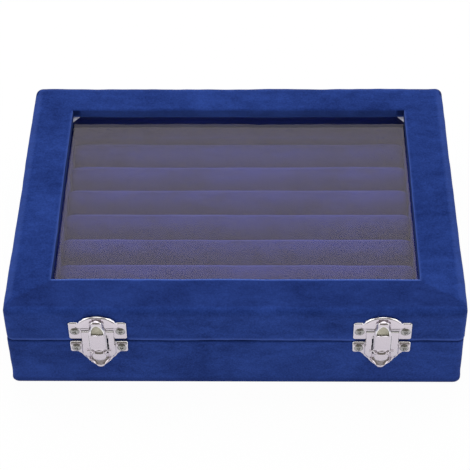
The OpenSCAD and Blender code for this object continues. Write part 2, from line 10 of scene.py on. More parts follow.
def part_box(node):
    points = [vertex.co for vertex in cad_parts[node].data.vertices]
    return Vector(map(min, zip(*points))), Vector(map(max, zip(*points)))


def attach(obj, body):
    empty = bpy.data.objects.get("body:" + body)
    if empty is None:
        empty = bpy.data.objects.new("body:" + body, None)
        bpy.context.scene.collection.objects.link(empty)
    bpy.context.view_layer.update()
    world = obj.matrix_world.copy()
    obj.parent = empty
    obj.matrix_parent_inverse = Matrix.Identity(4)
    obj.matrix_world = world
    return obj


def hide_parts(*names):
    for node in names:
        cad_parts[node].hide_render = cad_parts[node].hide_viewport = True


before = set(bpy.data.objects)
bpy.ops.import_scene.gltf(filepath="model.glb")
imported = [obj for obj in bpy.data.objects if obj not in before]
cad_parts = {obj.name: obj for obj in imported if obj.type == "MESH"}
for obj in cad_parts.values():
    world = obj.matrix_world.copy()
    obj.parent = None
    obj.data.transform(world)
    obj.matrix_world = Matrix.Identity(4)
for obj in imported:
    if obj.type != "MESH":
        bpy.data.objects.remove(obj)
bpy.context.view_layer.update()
mm = 0.001


def addObject(name, data):
    thing = bpy.data.objects.new(name, data)
    bpy.context.scene.collection.objects.link(thing)
    return thing


# sRGB hex to linear colour
def toLinear(code):
    parts = [int(code[i:i + 2], 16) / 255 for i in (1, 3, 5)]
    return [c / 12.92 if c <= 0.04045 else ((c + 0.055) / 1.055) ** 2.4 for c in parts] + [1.0]


# Adds a node; an input is given as a plain value, a socket, or a node whose first live output it takes
def addNode(tree, kind, inputs=None, **settings):
    node = tree.nodes.new(kind)
    for key, value in settings.items():
        setattr(node, key, value)
    for key, value in (inputs or {}).items():
        if isinstance(value, bpy.types.Node):
            value = next(socket for socket in value.outputs if socket.enabled)
        if isinstance(value, bpy.types.NodeSocket):
            tree.links.new(value, node.inputs[key])
        else:
            node.inputs[key].default_value = value
    return node


def calculate(tree, operation, *values, **settings):
    return addNode(tree, "ShaderNodeMath", dict(enumerate(values)), operation=operation, **settings)


# Mixes two colours, each a hex code or a socket
def mixColours(tree, share, a, b, blend="MIX"):
    a, b = (toLinear(c) if isinstance(c, str) else c for c in (a, b))
    return addNode(tree, "ShaderNodeMix", {"Factor": share, "A": a, "B": b}, data_type="RGBA",
                   blend_type=blend)


# Makes a material from a function that builds its shader in a tree, from the place in the object
def makeMaterial(name, build, *values):
    material = bpy.data.materials.new(name)
    material.use_nodes = True
    tree = material.node_tree
    tree.nodes.clear()
    where = addNode(tree, "ShaderNodeTexCoord").outputs["Object"]
    addNode(tree, "ShaderNodeOutputMaterial", {"Surface": build(tree, where, *values)})
    return material


# Camera of the photograph, from a pinhole fit to the edges of the box
cameraPlan = {
    "place": (0.01292, -0.53086, 0.54901),
    "elevation": 45.019,
    "yaw": 1.516,
    "roll": -1.032,
    "lens": 121.586,
    "sensor": 36,
}


def makeCamera(plan):
    elevation, yaw, roll = (math.radians(plan[k]) for k in ("elevation", "yaw", "roll"))
    back = Vector((math.sin(yaw) * math.cos(elevation), -math.cos(yaw) * math.cos(elevation),
                   math.sin(elevation)))
    right = (-back).cross(Vector((0, 0, 1))).normalized()
    up = right.cross(-back)
    sideways = right * math.cos(roll) + up * math.sin(roll)
    upwards = up * math.cos(roll) - right * math.sin(roll)
    data = bpy.data.cameras.new("camera")
    data.lens, data.sensor_width = plan["lens"], plan["sensor"]
    data.clip_start, data.clip_end = 0.01, 20
    camera = addObject("camera", data)
    turn = Matrix((sideways, upwards, back)).transposed().to_4x4()
    camera.matrix_world = Matrix.Translation(Vector(plan["place"])) @ turn
    bpy.context.scene.camera = camera


makeCamera(cameraPlan)
bpy.context.scene.view_settings.view_transform = "Standard"

stagePlan = {
    "floorHalf": 6.0,
    "floorColour": "#f8f8f8",
    "floorShine": 0.965,     # share of the floor that shows as plain white
    "floorMirrored": 0.6,    # that share where the metal mirrors the floor
    "floorBounce": 0.85,     # and where the floor lights the box from below
    "ambient": 0.74,         # light from all round
    "roomShade": "#7d7a70",  # the dim room in front of the box, seen in the metal only
    "roomLight": "#faf1ff",  # and the bright one behind it, which the glass mirrors too
    "overhead": 0.9,         # bright panels above and on both sides, also seen in the metal only
    "sides": 1.3,
    "lamps": {
        "key": {"power": 6.5, "size": 0.9, "place": (-0.1, 0.55, 1.0)},
        "fill": {"power": 1.5, "size": 1.0, "place": (0.1, -1.25, 0.2)},
    },
}


# Pale paper that shows as plain white to the camera, and partly so in the metal and the glass
def floorPaper(tree, where, plan):
    path = addNode(tree, "ShaderNodeLightPath").outputs
    share = calculate(tree, "MULTIPLY", path["Is Glossy Ray"], plan["floorMirrored"])
    seen = calculate(tree, "MAXIMUM", path["Is Camera Ray"], path["Is Transmission Ray"])
    for rays, level in ((seen, plan["floorShine"]), (path["Is Diffuse Ray"], plan["floorBounce"])):
        share = calculate(tree, "MULTIPLY_ADD", rays, level, share)
    grain = addNode(tree, "ShaderNodeTexNoise", {"Scale": 40.0, "Detail": 4.0})
    tone = addNode(tree, "ShaderNodeMapRange", {"Value": grain, "To Min": 0.99, "To Max": 1.01})
    colour = mixColours(tree, 1.0, plan["floorColour"], tone, "MULTIPLY")
    plain = addNode(tree, "ShaderNodeBsdfDiffuse", {"Color": colour})
    white = addNode(tree, "ShaderNodeEmission", {"Strength": 1.0})
    return addNode(tree, "ShaderNodeMixShader", {0: share, 1: plain, 2: white})


# The floor, the surroundings, dimmer in front where the camera stands, and the lamps
def makeStage(plan):
    mesh = bpy.data.meshes.new("floor")
    half = plan["floorHalf"]
    mesh.from_pydata([(-half, -half, 0), (half, -half, 0), (half, half, 0), (-half, half, 0)], [],
                     [(0, 1, 2, 3)])
    floor = addObject("floor", mesh)
    mesh.materials.append(makeMaterial("floor paper", floorPaper, plan))

    world = bpy.data.worlds.new("surroundings")
    world.use_nodes = True
    bpy.context.scene.world = world
    tree = world.node_tree
    tree.nodes.clear()
    path = addNode(tree, "ShaderNodeLightPath").outputs
    where = addNode(tree, "ShaderNodeTexCoord").outputs["Generated"]

    def toward(x, y, z, start, end, level):
        along = addNode(tree, "ShaderNodeVectorMath", {0: where, 1: Vector((x, y, z)).normalized()},
                        operation="DOT_PRODUCT")
        return addNode(tree, "ShaderNodeMapRange", {
            "Value": along, "From Min": start, "From Max": end, "To Min": 0.0, "To Max": level},
            interpolation_type="SMOOTHSTEP")

    total = toward(0, -0.17, 0.985, 0.93, 0.965, plan["overhead"])
    for way in (-1, 1):
        panel = toward(way, 0.1, 0.4, 0.8, 0.9, plan["sides"])
        total = calculate(tree, "ADD", total, panel)
    behind = toward(0, 0.707, 0.707, 0.25, 0.88, 1.0)
    room = mixColours(tree, behind, plan["roomShade"], plan["roomLight"])
    room = mixColours(tree, 1.0, room, total, "ADD")
    direct = calculate(tree, "MAXIMUM", path["Is Camera Ray"], path["Is Transmission Ray"])
    plain = addNode(tree, "ShaderNodeMix", {"Factor": direct, "A": plan["ambient"], "B": 1.0})
    colour = mixColours(tree, path["Is Glossy Ray"], plain, room)
    light = addNode(tree, "ShaderNodeBackground", {"Color": colour})
    addNode(tree, "ShaderNodeOutputWorld", {"Surface": light})

    for name, lamp in plan["lamps"].items():
        data = bpy.data.lights.new(name, "AREA")
        data.energy, data.size = lamp["power"], lamp["size"]
        light = addObject(name, data)
        light.location = lamp["place"]
        light.rotation_mode = "QUATERNION"
        light.rotation_quaternion = Vector(lamp["place"]).to_track_quat("Z", "Y")
        light.visible_glossy = light.visible_transmission = False


makeStage(stagePlan)
print("camera and stage made")


# Short pile velvet: the nap leans this way and that, so it shows soft light and dark patches,
# stroke marks a few millimetres long and a fine grain, and it glows where it is seen edge on
velvetPlan = {
    "patch": 34.0,   # millimetres across the large patches
    "stroke": 5.0,
    "grain": 0.8,    # coarser than the real pile, so that it shows
    # colour of the painted shade in creases and on shaded faces
    "crease": "#071038",
}


def velvet(tree, where, deep, light, glow, sheen):
    stretched = addNode(tree, "ShaderNodeMapping", {
        "Vector": where, "Scale": (0.45, 1.0, 1.0), "Rotation": (0.2, 0.1, 0.35)})
    layers, nap = {}, -0.45
    for label, at, detail, roughness, distortion, share in (
            ("patch", where, 3.0, 0.62, 0.6, 0.9), ("stroke", stretched, 3.0, 0.6, 0.4, 0.75),
            ("grain", where, 2.0, 0.7, 0.0, 0.95)):
        layers[label] = addNode(tree, "ShaderNodeTexNoise", {
            "Vector": at, "Scale": 1000 / velvetPlan[label], "Detail": detail, "Roughness": roughness,
            "Distortion": distortion})
        nap = calculate(tree, "MULTIPLY_ADD", layers[label], share, nap)
    nap = addNode(tree, "ShaderNodeMapRange", {"Value": nap, "From Min": 0.5, "From Max": 1.2})
    colour = mixColours(tree, nap, deep, light)
    # The mark paints light and shade: above zero a painted highlight toward glow, below zero painted shade
    # toward the crease colour
    painted_light_and_shade = addNode(tree, "ShaderNodeAttribute", attribute_name="painted_light_and_shade").outputs["Fac"]
    for way, tint in ((1.0, glow), (-1.0, velvetPlan["crease"])):     # painted highlights, then painted shade
        share = calculate(tree, "MULTIPLY", painted_light_and_shade, way, use_clamp=True)
        colour = mixColours(tree, share, colour, tint)
    pile = calculate(tree, "MULTIPLY_ADD", layers["stroke"], 0.8, layers["grain"])
    bump = addNode(tree, "ShaderNodeBump", {"Strength": 0.5, "Distance": 0.0003, "Height": pile})
    return addNode(tree, "ShaderNodeBsdfPrincipled", {
        "Base Color": colour, "Roughness": 0.92, "Specular IOR Level": 0.12, "Sheen Weight": sheen,
        "Sheen Roughness": 0.38, "Sheen Tint": toLinear(glow), "Normal": bump})


# Bright nickel plate on pressed steel: nearly a mirror, softened by a fine haze and faint ripples
# left by the press, with a painted highlight along its rims. Plain screws and springs are duller.
def metal(tree, where, colour, dull, haze, ripple):
    cloud = addNode(tree, "ShaderNodeTexNoise", {"Vector": where, "Scale": 420.0, "Detail": 3.0})
    fine = addNode(tree, "ShaderNodeTexNoise", {"Vector": where, "Scale": 2600.0, "Detail": 2.0})
    rough = addNode(tree, "ShaderNodeMapRange", {
        "Value": cloud, "From Min": 0.3, "From Max": 0.7, "To Min": haze, "To Max": haze * 1.6})
    rim = addNode(tree, "ShaderNodeAttribute", attribute_name="rim").outputs["Fac"]
    tone = colour
    # the rim mark paints a highlight by mixing the colour towards white
    for share, tint in ((fine, dull), (rim, "#ffffff")):
        tone = mixColours(tree, share, tone, tint)
    bump = addNode(tree, "ShaderNodeBump", {"Strength": ripple, "Distance": 0.0002, "Height": cloud})
    return addNode(tree, "ShaderNodeBsdfPrincipled", {
        "Base Color": tone, "Metallic": 1.0, "Roughness": rough, "Normal": bump})


# A plain fibrous stuff such as card, felt or raw fibreboard: matt, with small flecks
def fibre(tree, where, dark, light, size, roughness):
    fleck = addNode(tree, "ShaderNodeTexNoise", {
        "Vector": where, "Scale": 1000 / size, "Detail": 4.0, "Roughness": 0.65})
    colour = mixColours(tree, fleck, dark, light)
    bump = addNode(tree, "ShaderNodeBump", {"Strength": 0.3, "Distance": 0.0002, "Height": fleck})
    return addNode(tree, "ShaderNodeBsdfPrincipled", {
        "Base Color": colour, "Roughness": roughness, "Specular IOR Level": 0.25, "Normal": bump})


# Clear float glass: its two faces mirror about a tenth of the white surroundings
def floatGlass(tree, where):
    shadow = addNode(tree, "ShaderNodeLightPath").outputs["Is Shadow Ray"]
    wave = addNode(tree, "ShaderNodeTexNoise", {"Vector": where, "Scale": 9.0, "Detail": 1.0})
    bump = addNode(tree, "ShaderNodeBump", {"Strength": 0.05, "Distance": 0.0001, "Height": wave})
    pane = addNode(tree, "ShaderNodeBsdfPrincipled", {
        "Base Color": toLinear("#f6f4f4"), "Roughness": 0.02, "IOR": 1.52, "Transmission Weight": 1.0,
        "Normal": bump})
    clear = addNode(tree, "ShaderNodeBsdfTransparent", {"Color": toLinear("#f2f2f2")})
    return addNode(tree, "ShaderNodeMixShader", {0: shadow, 1: pane, 2: clear})


outerVelvet = makeMaterial("outer velvet", velvet, "#112660", "#28428c", "#506aba", 0.3)
innerVelvet = makeMaterial("inner velvet", velvet, "#161c62", "#2b3692", "#5a68d0", 0.4)
nickel = makeMaterial("bright nickel plate", metal, "#d8d0da", "#ccc4cc", 0.13, 0.12)
dullNickel = makeMaterial("dull nickel plate", metal, "#c6c2b2", "#aeaa9c", 0.42, 0.1)
screwSteel = makeMaterial("screw steel", metal, "#b4b3b2", "#9d9c9c", 0.24, 0.2)
springSteel = makeMaterial("spring steel", metal, "#84828a", "#6d6b72", 0.3, 0.2)
hingeSteel = makeMaterial("hinge steel", metal, "#c4bfc4", "#aaa6ab", 0.22, 0.2)
paleCard = makeMaterial("pale card", fibre, "#b8b7c4", "#d3d1dc", 0.9, 0.85)
rawBoard = makeMaterial("raw fibreboard", fibre, "#93764c", "#b79a6b", 0.7, 0.9)
felt = makeMaterial("pressed felt", fibre, "#15224a", "#24366c", 0.6, 0.95)
glass = makeMaterial("float glass", floatGlass)
print("materials made")


# Puts a mesh into the scene, with its points given in millimetres
def linkMesh(name, points, faces):
    mesh = bpy.data.meshes.new(name)
    mesh.from_pydata([tuple(c * mm for c in p) for p in points], [], faces)
    mesh.validate()
    mesh.shade_smooth()
    return addObject(name, mesh)


# Changes a mesh by one step, if one is given, and turns all its faces outwards
def reshape(thing, change=None):
    work = bmesh.new()
    work.from_mesh(thing.data)
    if change:
        change(work)
    bmesh.ops.recalc_face_normals(work, faces=work.faces)
    work.to_mesh(thing.data)
    work.free()
    return thing


# Turns an object with modifiers into a plain mesh, with creases sharper than an angle kept crisp
def flatten(thing, crease=None):
    bpy.context.view_layer.update()
    graph = bpy.context.evaluated_depsgraph_get()
    mesh = bpy.data.meshes.new_from_object(thing.evaluated_get(graph), depsgraph=graph)
    thing.modifiers.clear()
    thing.data = mesh
    mesh.shade_smooth()
    if crease:
        mesh.set_sharp_from_angle(angle=math.radians(crease))
    return thing


# Gives a sheet its thickness, inwards from its outer face
def thicken(thing, thickness, crease=None):
    shell = thing.modifiers.new("thickness", "SOLIDIFY")
    shell.thickness = thickness * mm
    shell.offset = -1
    return flatten(thing, crease)


# Gives a piece its finish and the body it rides on, and hides the CAD pieces it stands for
def place(thing, material, body, slotName, *nodes):
    thing.data.materials.clear()
    thing.data.materials.append(material)
    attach(thing, body)
    if nodes:
        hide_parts(*nodes)
    return thing


# Even steps from a to b, about a pitch apart
def spread(a, b, pitch):
    n = max(1, round(abs(b - a) / pitch))
    return [a + (b - a) * i / n for i in range(n + 1)]


# A rolled edge between two angles in degrees, as (angle, how far in, how far up)
def rolled(radius, start, end, pitch):
    return [(a, radius * (1 - math.cos(math.radians(a))), radius * math.sin(math.radians(a)))
            for a in spread(start, end, pitch)]


# Faces between rings of points, whose numbers begin at a start
def joinRings(count, around, start=0):
    faces = []
    for k in range(count - 1):
        a, b = start + k * around, start + (k + 1) * around
        faces += [(a + i, b + i, b + (i + 1) % around, a + (i + 1) % around) for i in range(around)]
    return faces


# One level round the box, as points on a rectangle with round corners. A level is
# (half width, half depth, corner radius, height, middle).
def levelPoints(level, counts):
    w, d, r, z, middle = level
    across, deep, corner = counts
    sides = ((w, r - d, w, d - r, deep), (w - r, d, r - w, d, across),
             (-w, d - r, -w, r - d, deep), (r - w, -d, w - r, -d, across))
    signs = ((1, 1), (-1, 1), (-1, -1), (1, -1))
    points = []
    for k, (ax, ay, bx, by, n) in enumerate(sides):
        for i in range(n):
            t = i / (n - 1)
            points.append((ax + (bx - ax) * t, ay + (by - ay) * t + middle, z))
        for j in range(1, corner):
            angle = math.pi / 2 * (k + j / corner)
            points.append((signs[k][0] * (w - r) + r * math.cos(angle),
                           signs[k][1] * (d - r) + r * math.sin(angle) + middle, z))
    return points


# Cloth or board that runs round the box through a list of levels
def wrapRound(name, levels, counts=(134, 100, 6), flip=False):
    across, deep, corner = counts
    points = [point for level in levels for point in levelPoints(level, counts)]
    faces = joinRings(len(levels), 2 * (across + deep) + 4 * (corner - 1))
    return linkMesh(name, points, [face[::-1] for face in faces] if flip else faces)


# Moves each point a little along its normal, so that cloth lies softly on its board
def soften(thing, size, depth, seed, keep=None):
    mesh = thing.data
    moved = []
    for v in mesh.vertices:
        p = v.co / (size * mm) + Vector((seed * 7.3, seed * 3.1, seed * 5.7))
        share = keep(v.co) if keep else 1.0
        moved.append(v.co + v.normal * noise.noise(p) * depth * mm * share)
    for v, p in zip(mesh.vertices, moved):
        v.co = p
    mesh.update()


# Writes a number on each point for the material to read
def mark(thing, label, values):
    layer = thing.data.attributes.new(label, "FLOAT", "POINT")
    layer.data.foreach_set("value", np.array(values, dtype=np.float32))


# The box of a CAD piece, in millimetres
def sizeOf(node):
    low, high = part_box(node)
    return Vector(low) / mm, Vector(high) / mm


lidLow, lidHigh = sizeOf("lid_velvet_wrap")
baseLow, baseHigh = sizeOf("base_velvet_wrap")
boardLow, boardHigh = sizeOf("lid_window_board")
halfWide, halfDeep = baseHigh.x, baseHigh.y
rimZ, lidZ, topZ = baseHigh.z, lidLow.z, lidHigh.z
latchMiddles = [sum(c.x for c in sizeOf(f"latch_lever_{side}")) / 2 for side in ("left", "right")]
sharpCorner = 0.3   # the radius of a corner where the cloth is pulled tight

lidPlan = {
    "windowWide": 161.0,
    "windowDeep": 112.7,
    "windowBack": 1.25,   # the window lies this far behind the middle of the lid
    "rollRadius": 0.8,
    "edgeRadius": 2.6,
    "cornerRadius": 3.4,
    "lipRadius": 0.9,
    "cloth": 0.7,
    "wall": 7.8,
    "cornerShadeLong": 3.5,          # length of the painted shade of the folded cloth at the window's back corners
    "plateHalf": 12.2,    # half the width of the shade between the ears of a latch
}


# The velvet over the lid, from the glass up over the window edge and down to the inner lip.
# Painted highlights are marked above zero and painted shade below it.
def makeLidVelvet(plan):
    a0, b0, back = plan["windowWide"] / 2, plan["windowDeep"] / 2, plan["windowBack"]
    roll, edge, corner, lip = (plan[k] for k in ("rollRadius", "edgeRadius", "cornerRadius", "lipRadius"))
    levels, tones = [], []

    # The tones are painted light and shade; they are those behind, beside and before the window, or one for
    # all
    def add(wide, deep, r, z, shift, *tone):
        levels.append((wide, deep, r, z, shift))
        tones.append(tone if len(tone) == 3 else tone * 3)

    def addOutside(inset, z, *tone):
        add(halfWide - inset, halfDeep - inset, max(sharpCorner, corner - inset), z, 0.0, *tone)

    # Tones above zero paint highlights on the window's rolled edge, the outer edge and the lower lip, and
    # lighten the back wall of the window; tones below zero paint shade on its side and front walls, the
    # front of the top, under the lip and inside
    for z in spread(boardLow.z + 0.05, topZ - roll, 0.8):
        add(a0, b0, sharpCorner, z, back, 0.45 if z < boardLow.z + 0.5 else 0.14, -0.75, -0.4)
    for a, inset, up in rolled(roll, 12, 90, 78 / 7):
        t = up / roll
        add(a0 + inset, b0 + inset, sharpCorner, topZ - roll + up, back,
            0.14 - 0.25 * t ** 3, 0.42 if t < 0.9 else 0.1, 0.85 * t ** 2)
    flatA, flatB = halfWide - edge, halfDeep - edge
    startA, startB = a0 + roll, b0 + roll
    for i, t in enumerate((0.03, 0.07, *spread(0.12, 1, 1 / 11)[:-1])):
        tone = (-0.1, -0.03, 0.1) if i == 0 else (0, 0, -0.28)
        add(startA + (flatA - startA) * t, startB + (flatB - startB) * t,
            sharpCorner + (corner - edge) * t, topZ, back * (1 - t), *tone)
    for a, inset, up in rolled(edge, 90, 0, 11.25):
        addOutside(inset, topZ - edge + up, 0.1, 0.16, -0.08)
    for z in spread(topZ - edge, lidZ + lip, 1.3)[1:]:
        addOutside(0, z, 0.35 if z < lidZ + 1.5 else 0)
    for a, inset, up in rolled(lip, 0, 90, 22.5)[1:]:
        addOutside(inset, lidZ + lip - up, 0.3 - a / 75)
    for inset in spread(lip, plan["wall"], 1.6)[1:]:
        addOutside(inset, lidZ, -0.8)
    thing = wrapRound("lid_velvet", levels)
    total = len(thing.data.vertices) // len(levels)
    values = []
    for i, v in enumerate(thing.data.vertices):
        behind, beside, before = tones[i // total]
        side = abs(v.co.x) / (a0 * mm) > abs(v.co.y) / (b0 * mm)
        tone = beside if side else behind if v.co.y > 0 else before
        x, y, z = v.co / mm
        onWall = behind > 0.05 and boardLow.z + 1 < z < topZ - 0.4
        if onWall and not side and y > 0 and abs(x) > a0 - plan["cornerShadeLong"]:
            tone = -0.6     # painted shade where the cloth is nicked and folded
        atPlate = min(abs(x - m) for m in latchMiddles) < plan["plateHalf"]
        if atPlate and y < 1 - halfDeep and z < lidZ + 1.6:
            tone = -1.0     # and shaded here
        values.append(tone)
    mark(thing, "painted_light_and_shade", values)

    def keep(p):
        atWindow = abs(p.x) < (a0 + 0.8) * mm and abs(p.y) < (b0 + 0.8) * mm
        return 0.0 if atWindow and p.z < (topZ - 1.2) * mm else 1.0

    soften(thing, 26, 0.32, 1, keep)
    soften(thing, 7, 0.14, 2, keep)
    return thicken(thing, plan["cloth"])


place(makeLidVelvet(lidPlan), outerVelvet, "lid", "outer_velvet", "lid_velvet_wrap")

boardPlan = {
    "holeWide": 162.6,
    "holeDeep": 114.3,
    "tabLong": 5.5,
    "tabShort": 4.3,
    "easedEdge": 2.2,
    "cornerRadius": 2.8,
}


# The card under the velvet, with a bare corner tab lying on the glass in each corner of the window
def makeBoard(plan):
    a, b = plan["holeWide"] / 2, plan["holeDeep"] / 2
    eased, corner = plan["easedEdge"], plan["cornerRadius"]
    low, high, back = boardLow.z, boardHigh.z, lidPlan["windowBack"]
    wide, deep = boardHigh.x, boardHigh.y
    levels = [(a, b, sharpCorner, z, back) for z in (low, high)]
    levels += [(wide - inset, deep - inset, corner - inset, high - eased + up, 0.0)
               for angle, inset, up in rolled(eased, 90, 0, 22.5)]
    levels += [(wide, deep, corner, low, 0.0), levels[0]]

    def addTabs(work):
        bmesh.ops.remove_doubles(work, verts=work.verts, dist=0.000001)
        for sx, sy in ((1, 1), (-1, 1), (-1, -1), (1, -1)):
            x, y = sx * a, sy * b + back
            corners = ((x, y), (x - sx * plan["tabShort"], y), (x, y - sy * plan["tabLong"]))
            rows = [[work.verts.new((cx * mm, cy * mm, z * mm)) for cx, cy in corners]
                    for z in (low + 0.02, low + 0.3)]
            work.faces.new(rows[0])
            work.faces.new(rows[1][::-1])
            for i in range(3):
                j = (i + 1) % 3
                work.faces.new((rows[0][i], rows[0][j], rows[1][j], rows[1][i]))

    thing = reshape(wrapRound("window_card", levels, (40, 30, 4)), addTabs)
    thing.data.set_sharp_from_angle(angle=math.radians(40))
    return thing


place(makeBoard(boardPlan), paleCard, "lid", "pale_board", "lid_window_board")

basePlan = {
    "rimRadius": 1.1,
    "cornerRadius": 3.2,
    "footRadius": 0.5,
    "flare": 0.4,         # the cloth stands this far out at the foot
    "sag": 0.05,          # and ends this far above the floor
    "innerRadius": 0.8,
    "wall": 8.6,
    "innerFoot": 6.4,
    "turnIn": 9.8,
    "cloth": 0.7,
}


# The velvet over the base: up from the card inside, over the rim, down and turned in below
def makeBaseVelvet(plan):
    rim, corner, foot, inner, wall, low, flare = (plan[k] for k in (
        "rimRadius", "cornerRadius", "footRadius", "innerRadius", "wall", "sag", "flare"))
    levels, tones = [], []

    def add(inset, r, z, tone):
        levels.append((halfWide - inset, halfDeep - inset, max(sharpCorner, r), z, 0.0))
        tones.append(tone)

    # Tones below zero paint shade along the top of the rim under the lid, near the foot and underneath
    for z in spread(plan["innerFoot"], rimZ - inner, 2.5):
        add(wall, 0, z, 0.0)
    for a, inset, up in rolled(inner, 0, 90, 22.5)[1:]:
        add(wall - inset, 0, rimZ - inner + up, 0.0)
    for inset in spread(wall - inner, rim, 1.5)[1:]:
        add(inset, corner - inset, rimZ, -0.3)
    for a, inset, up in rolled(rim, 90, 0, 18)[1:]:
        add(inset, corner - inset, rimZ - rim + up, -0.5 * a / 90)
    for z in spread(rimZ - rim, low + foot, 1.3)[1:]:
        add(-flare * max(0, 1 - z / 7) ** 2, corner, z, -0.3 if z < 2 else 0.0)
    for a, inset, up in rolled(foot, 0, 90, 18)[1:]:
        add(inset - flare, corner - inset + flare, low + foot - up, -0.6)
    for inset in spread(1.8, plan["turnIn"], 2):
        add(inset, corner - inset, baseLow.z, -0.6)
    thing = wrapRound("base_velvet", levels)
    mark(thing, "painted_light_and_shade", np.repeat(tones, len(thing.data.vertices) // len(levels)))

    def keep(p):
        return 0.0 if p.z < 0.9 * mm else 1.0

    soften(thing, 24, 0.3, 3, keep)
    soften(thing, 7, 0.12, 4, keep)
    return thicken(thing, plan["cloth"])


place(makeBaseVelvet(basePlan), outerVelvet, "base", "outer_velvet", "base_velvet_wrap")
print("velvet wraps made")

liningPlan = {
    "corner": 0.4,
    "counts": (100, 76, 4),   # points across, from front to back and round each corner
    # a painted lift of light on the shaded lid lining and glass frame cloth
    "paintedLift": 0.35,
}


# Marks a whole cloth with one tone of painted light, then gives it its thickness
def markLining(thing, tone, cloth):
    mark(thing, "painted_light_and_shade", [tone] * len(thing.data.vertices))
    return thicken(thing, cloth)


# Cloth round a hole in a tray or frame: up from the hole, over, and down outside
def makeCuff(name, hole, outer, low, high, radius, cloth, seed, flip=False):
    holeA, holeB, holeBack = hole
    outA, outB = outer
    corner = liningPlan["corner"]
    way, crown, foot = (-1, low, high) if flip else (1, high, low)
    turn = crown - way * radius
    levels = [(holeA, holeB, corner, z, holeBack) for z in spread(foot, turn, 2.2)]
    levels += [(holeA + inset, holeB + inset, corner, turn + way * up, holeBack)
               for a, inset, up in rolled(radius, 0, 90, 22.5)[1:]]
    levels += [(holeA + radius + (outA - holeA - 2 * radius) * t,
                holeB + radius + (outB - holeB - 2 * radius) * t, corner, crown, holeBack * (1 - t))
               for t in spread(0, 1, 1 / 6)[1:-1]]
    levels += [(outA - inset, outB - inset, corner, turn + way * up, 0.0)
               for a, inset, up in rolled(radius, 90, 0, 22.5)]
    levels += [(outA, outB, corner, z, 0.0) for z in spread(turn, foot, 2.2)[1:]]
    thing = wrapRound(name, levels, liningPlan["counts"], flip)
    soften(thing, 14, 0.16, seed)
    # the glass frame cloth gets the painted lift of light, the border cloth none
    return markLining(thing, liningPlan["paintedLift"] if flip else 0.0, cloth)


borderPlan = {
    "rollReach": 2.3,   # the rolls look this much longer at each end than their foam
    "endGap": 0.4,
    "backGap": 0.6,
    "radius": 1.3,
    "cloth": 0.7,
}


# The velvet over the border blocks, with one hole for all the rolls
def makeBorder(plan):
    low, high = sizeOf("border_velvet")
    hole = (sizeOf("roll_velvet_1")[1].x + plan["rollReach"] + plan["endGap"],
            sizeOf("roll_velvet_7")[1].y + plan["backGap"], 0.0)
    return makeCuff("border_cloth", hole, (high.x, high.y), low.z + 0.3, high.z, plan["radius"],
                    plan["cloth"], 5)


place(makeBorder(borderPlan), innerVelvet, "base", "inner_velvet", "border_velvet", "border_front_block",
      "border_back_block", "border_left_block", "border_right_block")

retainerPlan = {
    "back": 3.2,       # its edge lies this far back from the edge of the window
    "depth": 1.45,
    "radius": 0.55,
    "cloth": 0.5,
}


# The covered frame that holds the glass from below
def makeRetainer(plan):
    low, high = sizeOf("glass_retainer")
    hole = (lidPlan["windowWide"] / 2 + plan["back"], lidPlan["windowDeep"] / 2 + plan["back"],
            lidPlan["windowBack"])
    return makeCuff("glass_frame_cloth", hole, (high.x - 0.1, high.y - 0.1), low.z, low.z + plan["depth"],
                    plan["radius"], plan["cloth"], 6, True)


place(makeRetainer(retainerPlan), innerVelvet, "lid", "inner_velvet", "glass_retainer")


def makeLidLining():
    low, high = sizeOf("lid_lining")
    levels = [(high.x - 0.8, high.y - 0.8, liningPlan["corner"], z, 0.0)
              for z in spread(low.z + 0.1, high.z - 0.1, 1.6)]
    thing = wrapRound("lid_lining_cloth", levels, liningPlan["counts"])
    soften(thing, 16, 0.12, 7)
    # the lid lining gets the painted lift of light
    return markLining(thing, liningPlan["paintedLift"], 0.7)


place(makeLidLining(), innerVelvet, "lid", "inner_velvet", "lid_lining")


# The felt below is one closed pad: rows from the middle out, round the edge and back below, and
# both open middles filled in
def makeFelt():
    high = sizeOf("underside_felt")[1]
    rings = [(inset, high.z - 0.02) for inset in spread(70, 0.3, 5)]
    rings += [(0.1, high.z - 0.12), (0, 0.25), (0.2, 0.02)]
    rings += [(inset, 0.0) for inset in spread(0.5, 70, 5)]
    levels = [(high.x - inset, high.y - inset, 3.0, z, 0.0) for inset, z in rings]
    return reshape(wrapRound("felt_pad", levels, (60, 44, 4)), lambda work: bmesh.ops.holes_fill(
        work, edges=[e for e in work.edges if e.is_boundary], sides=0))


place(makeFelt(), felt, "base", "felt", "underside_felt")
print("linings made")

rollPlan = {
    "count": 7,
    "around": 26,
    "along": 64,
    "endRadius": 0.9,
    "startInset": 0.9,   # the cover starts this much smaller and is blown up to its size
    "voxel": 2.6,
    "pressure": 4.0,
    "frames": 20,
    "cap": 1.4,          # and no point moves further than this
    "endStretch": 1.9,   # the ends are drawn out by this before they are held to the border
    "crest": 4.3,        # the painted sheen highlight along each roll lies this far behind its middle
    "crestWidth": 1.1,
}


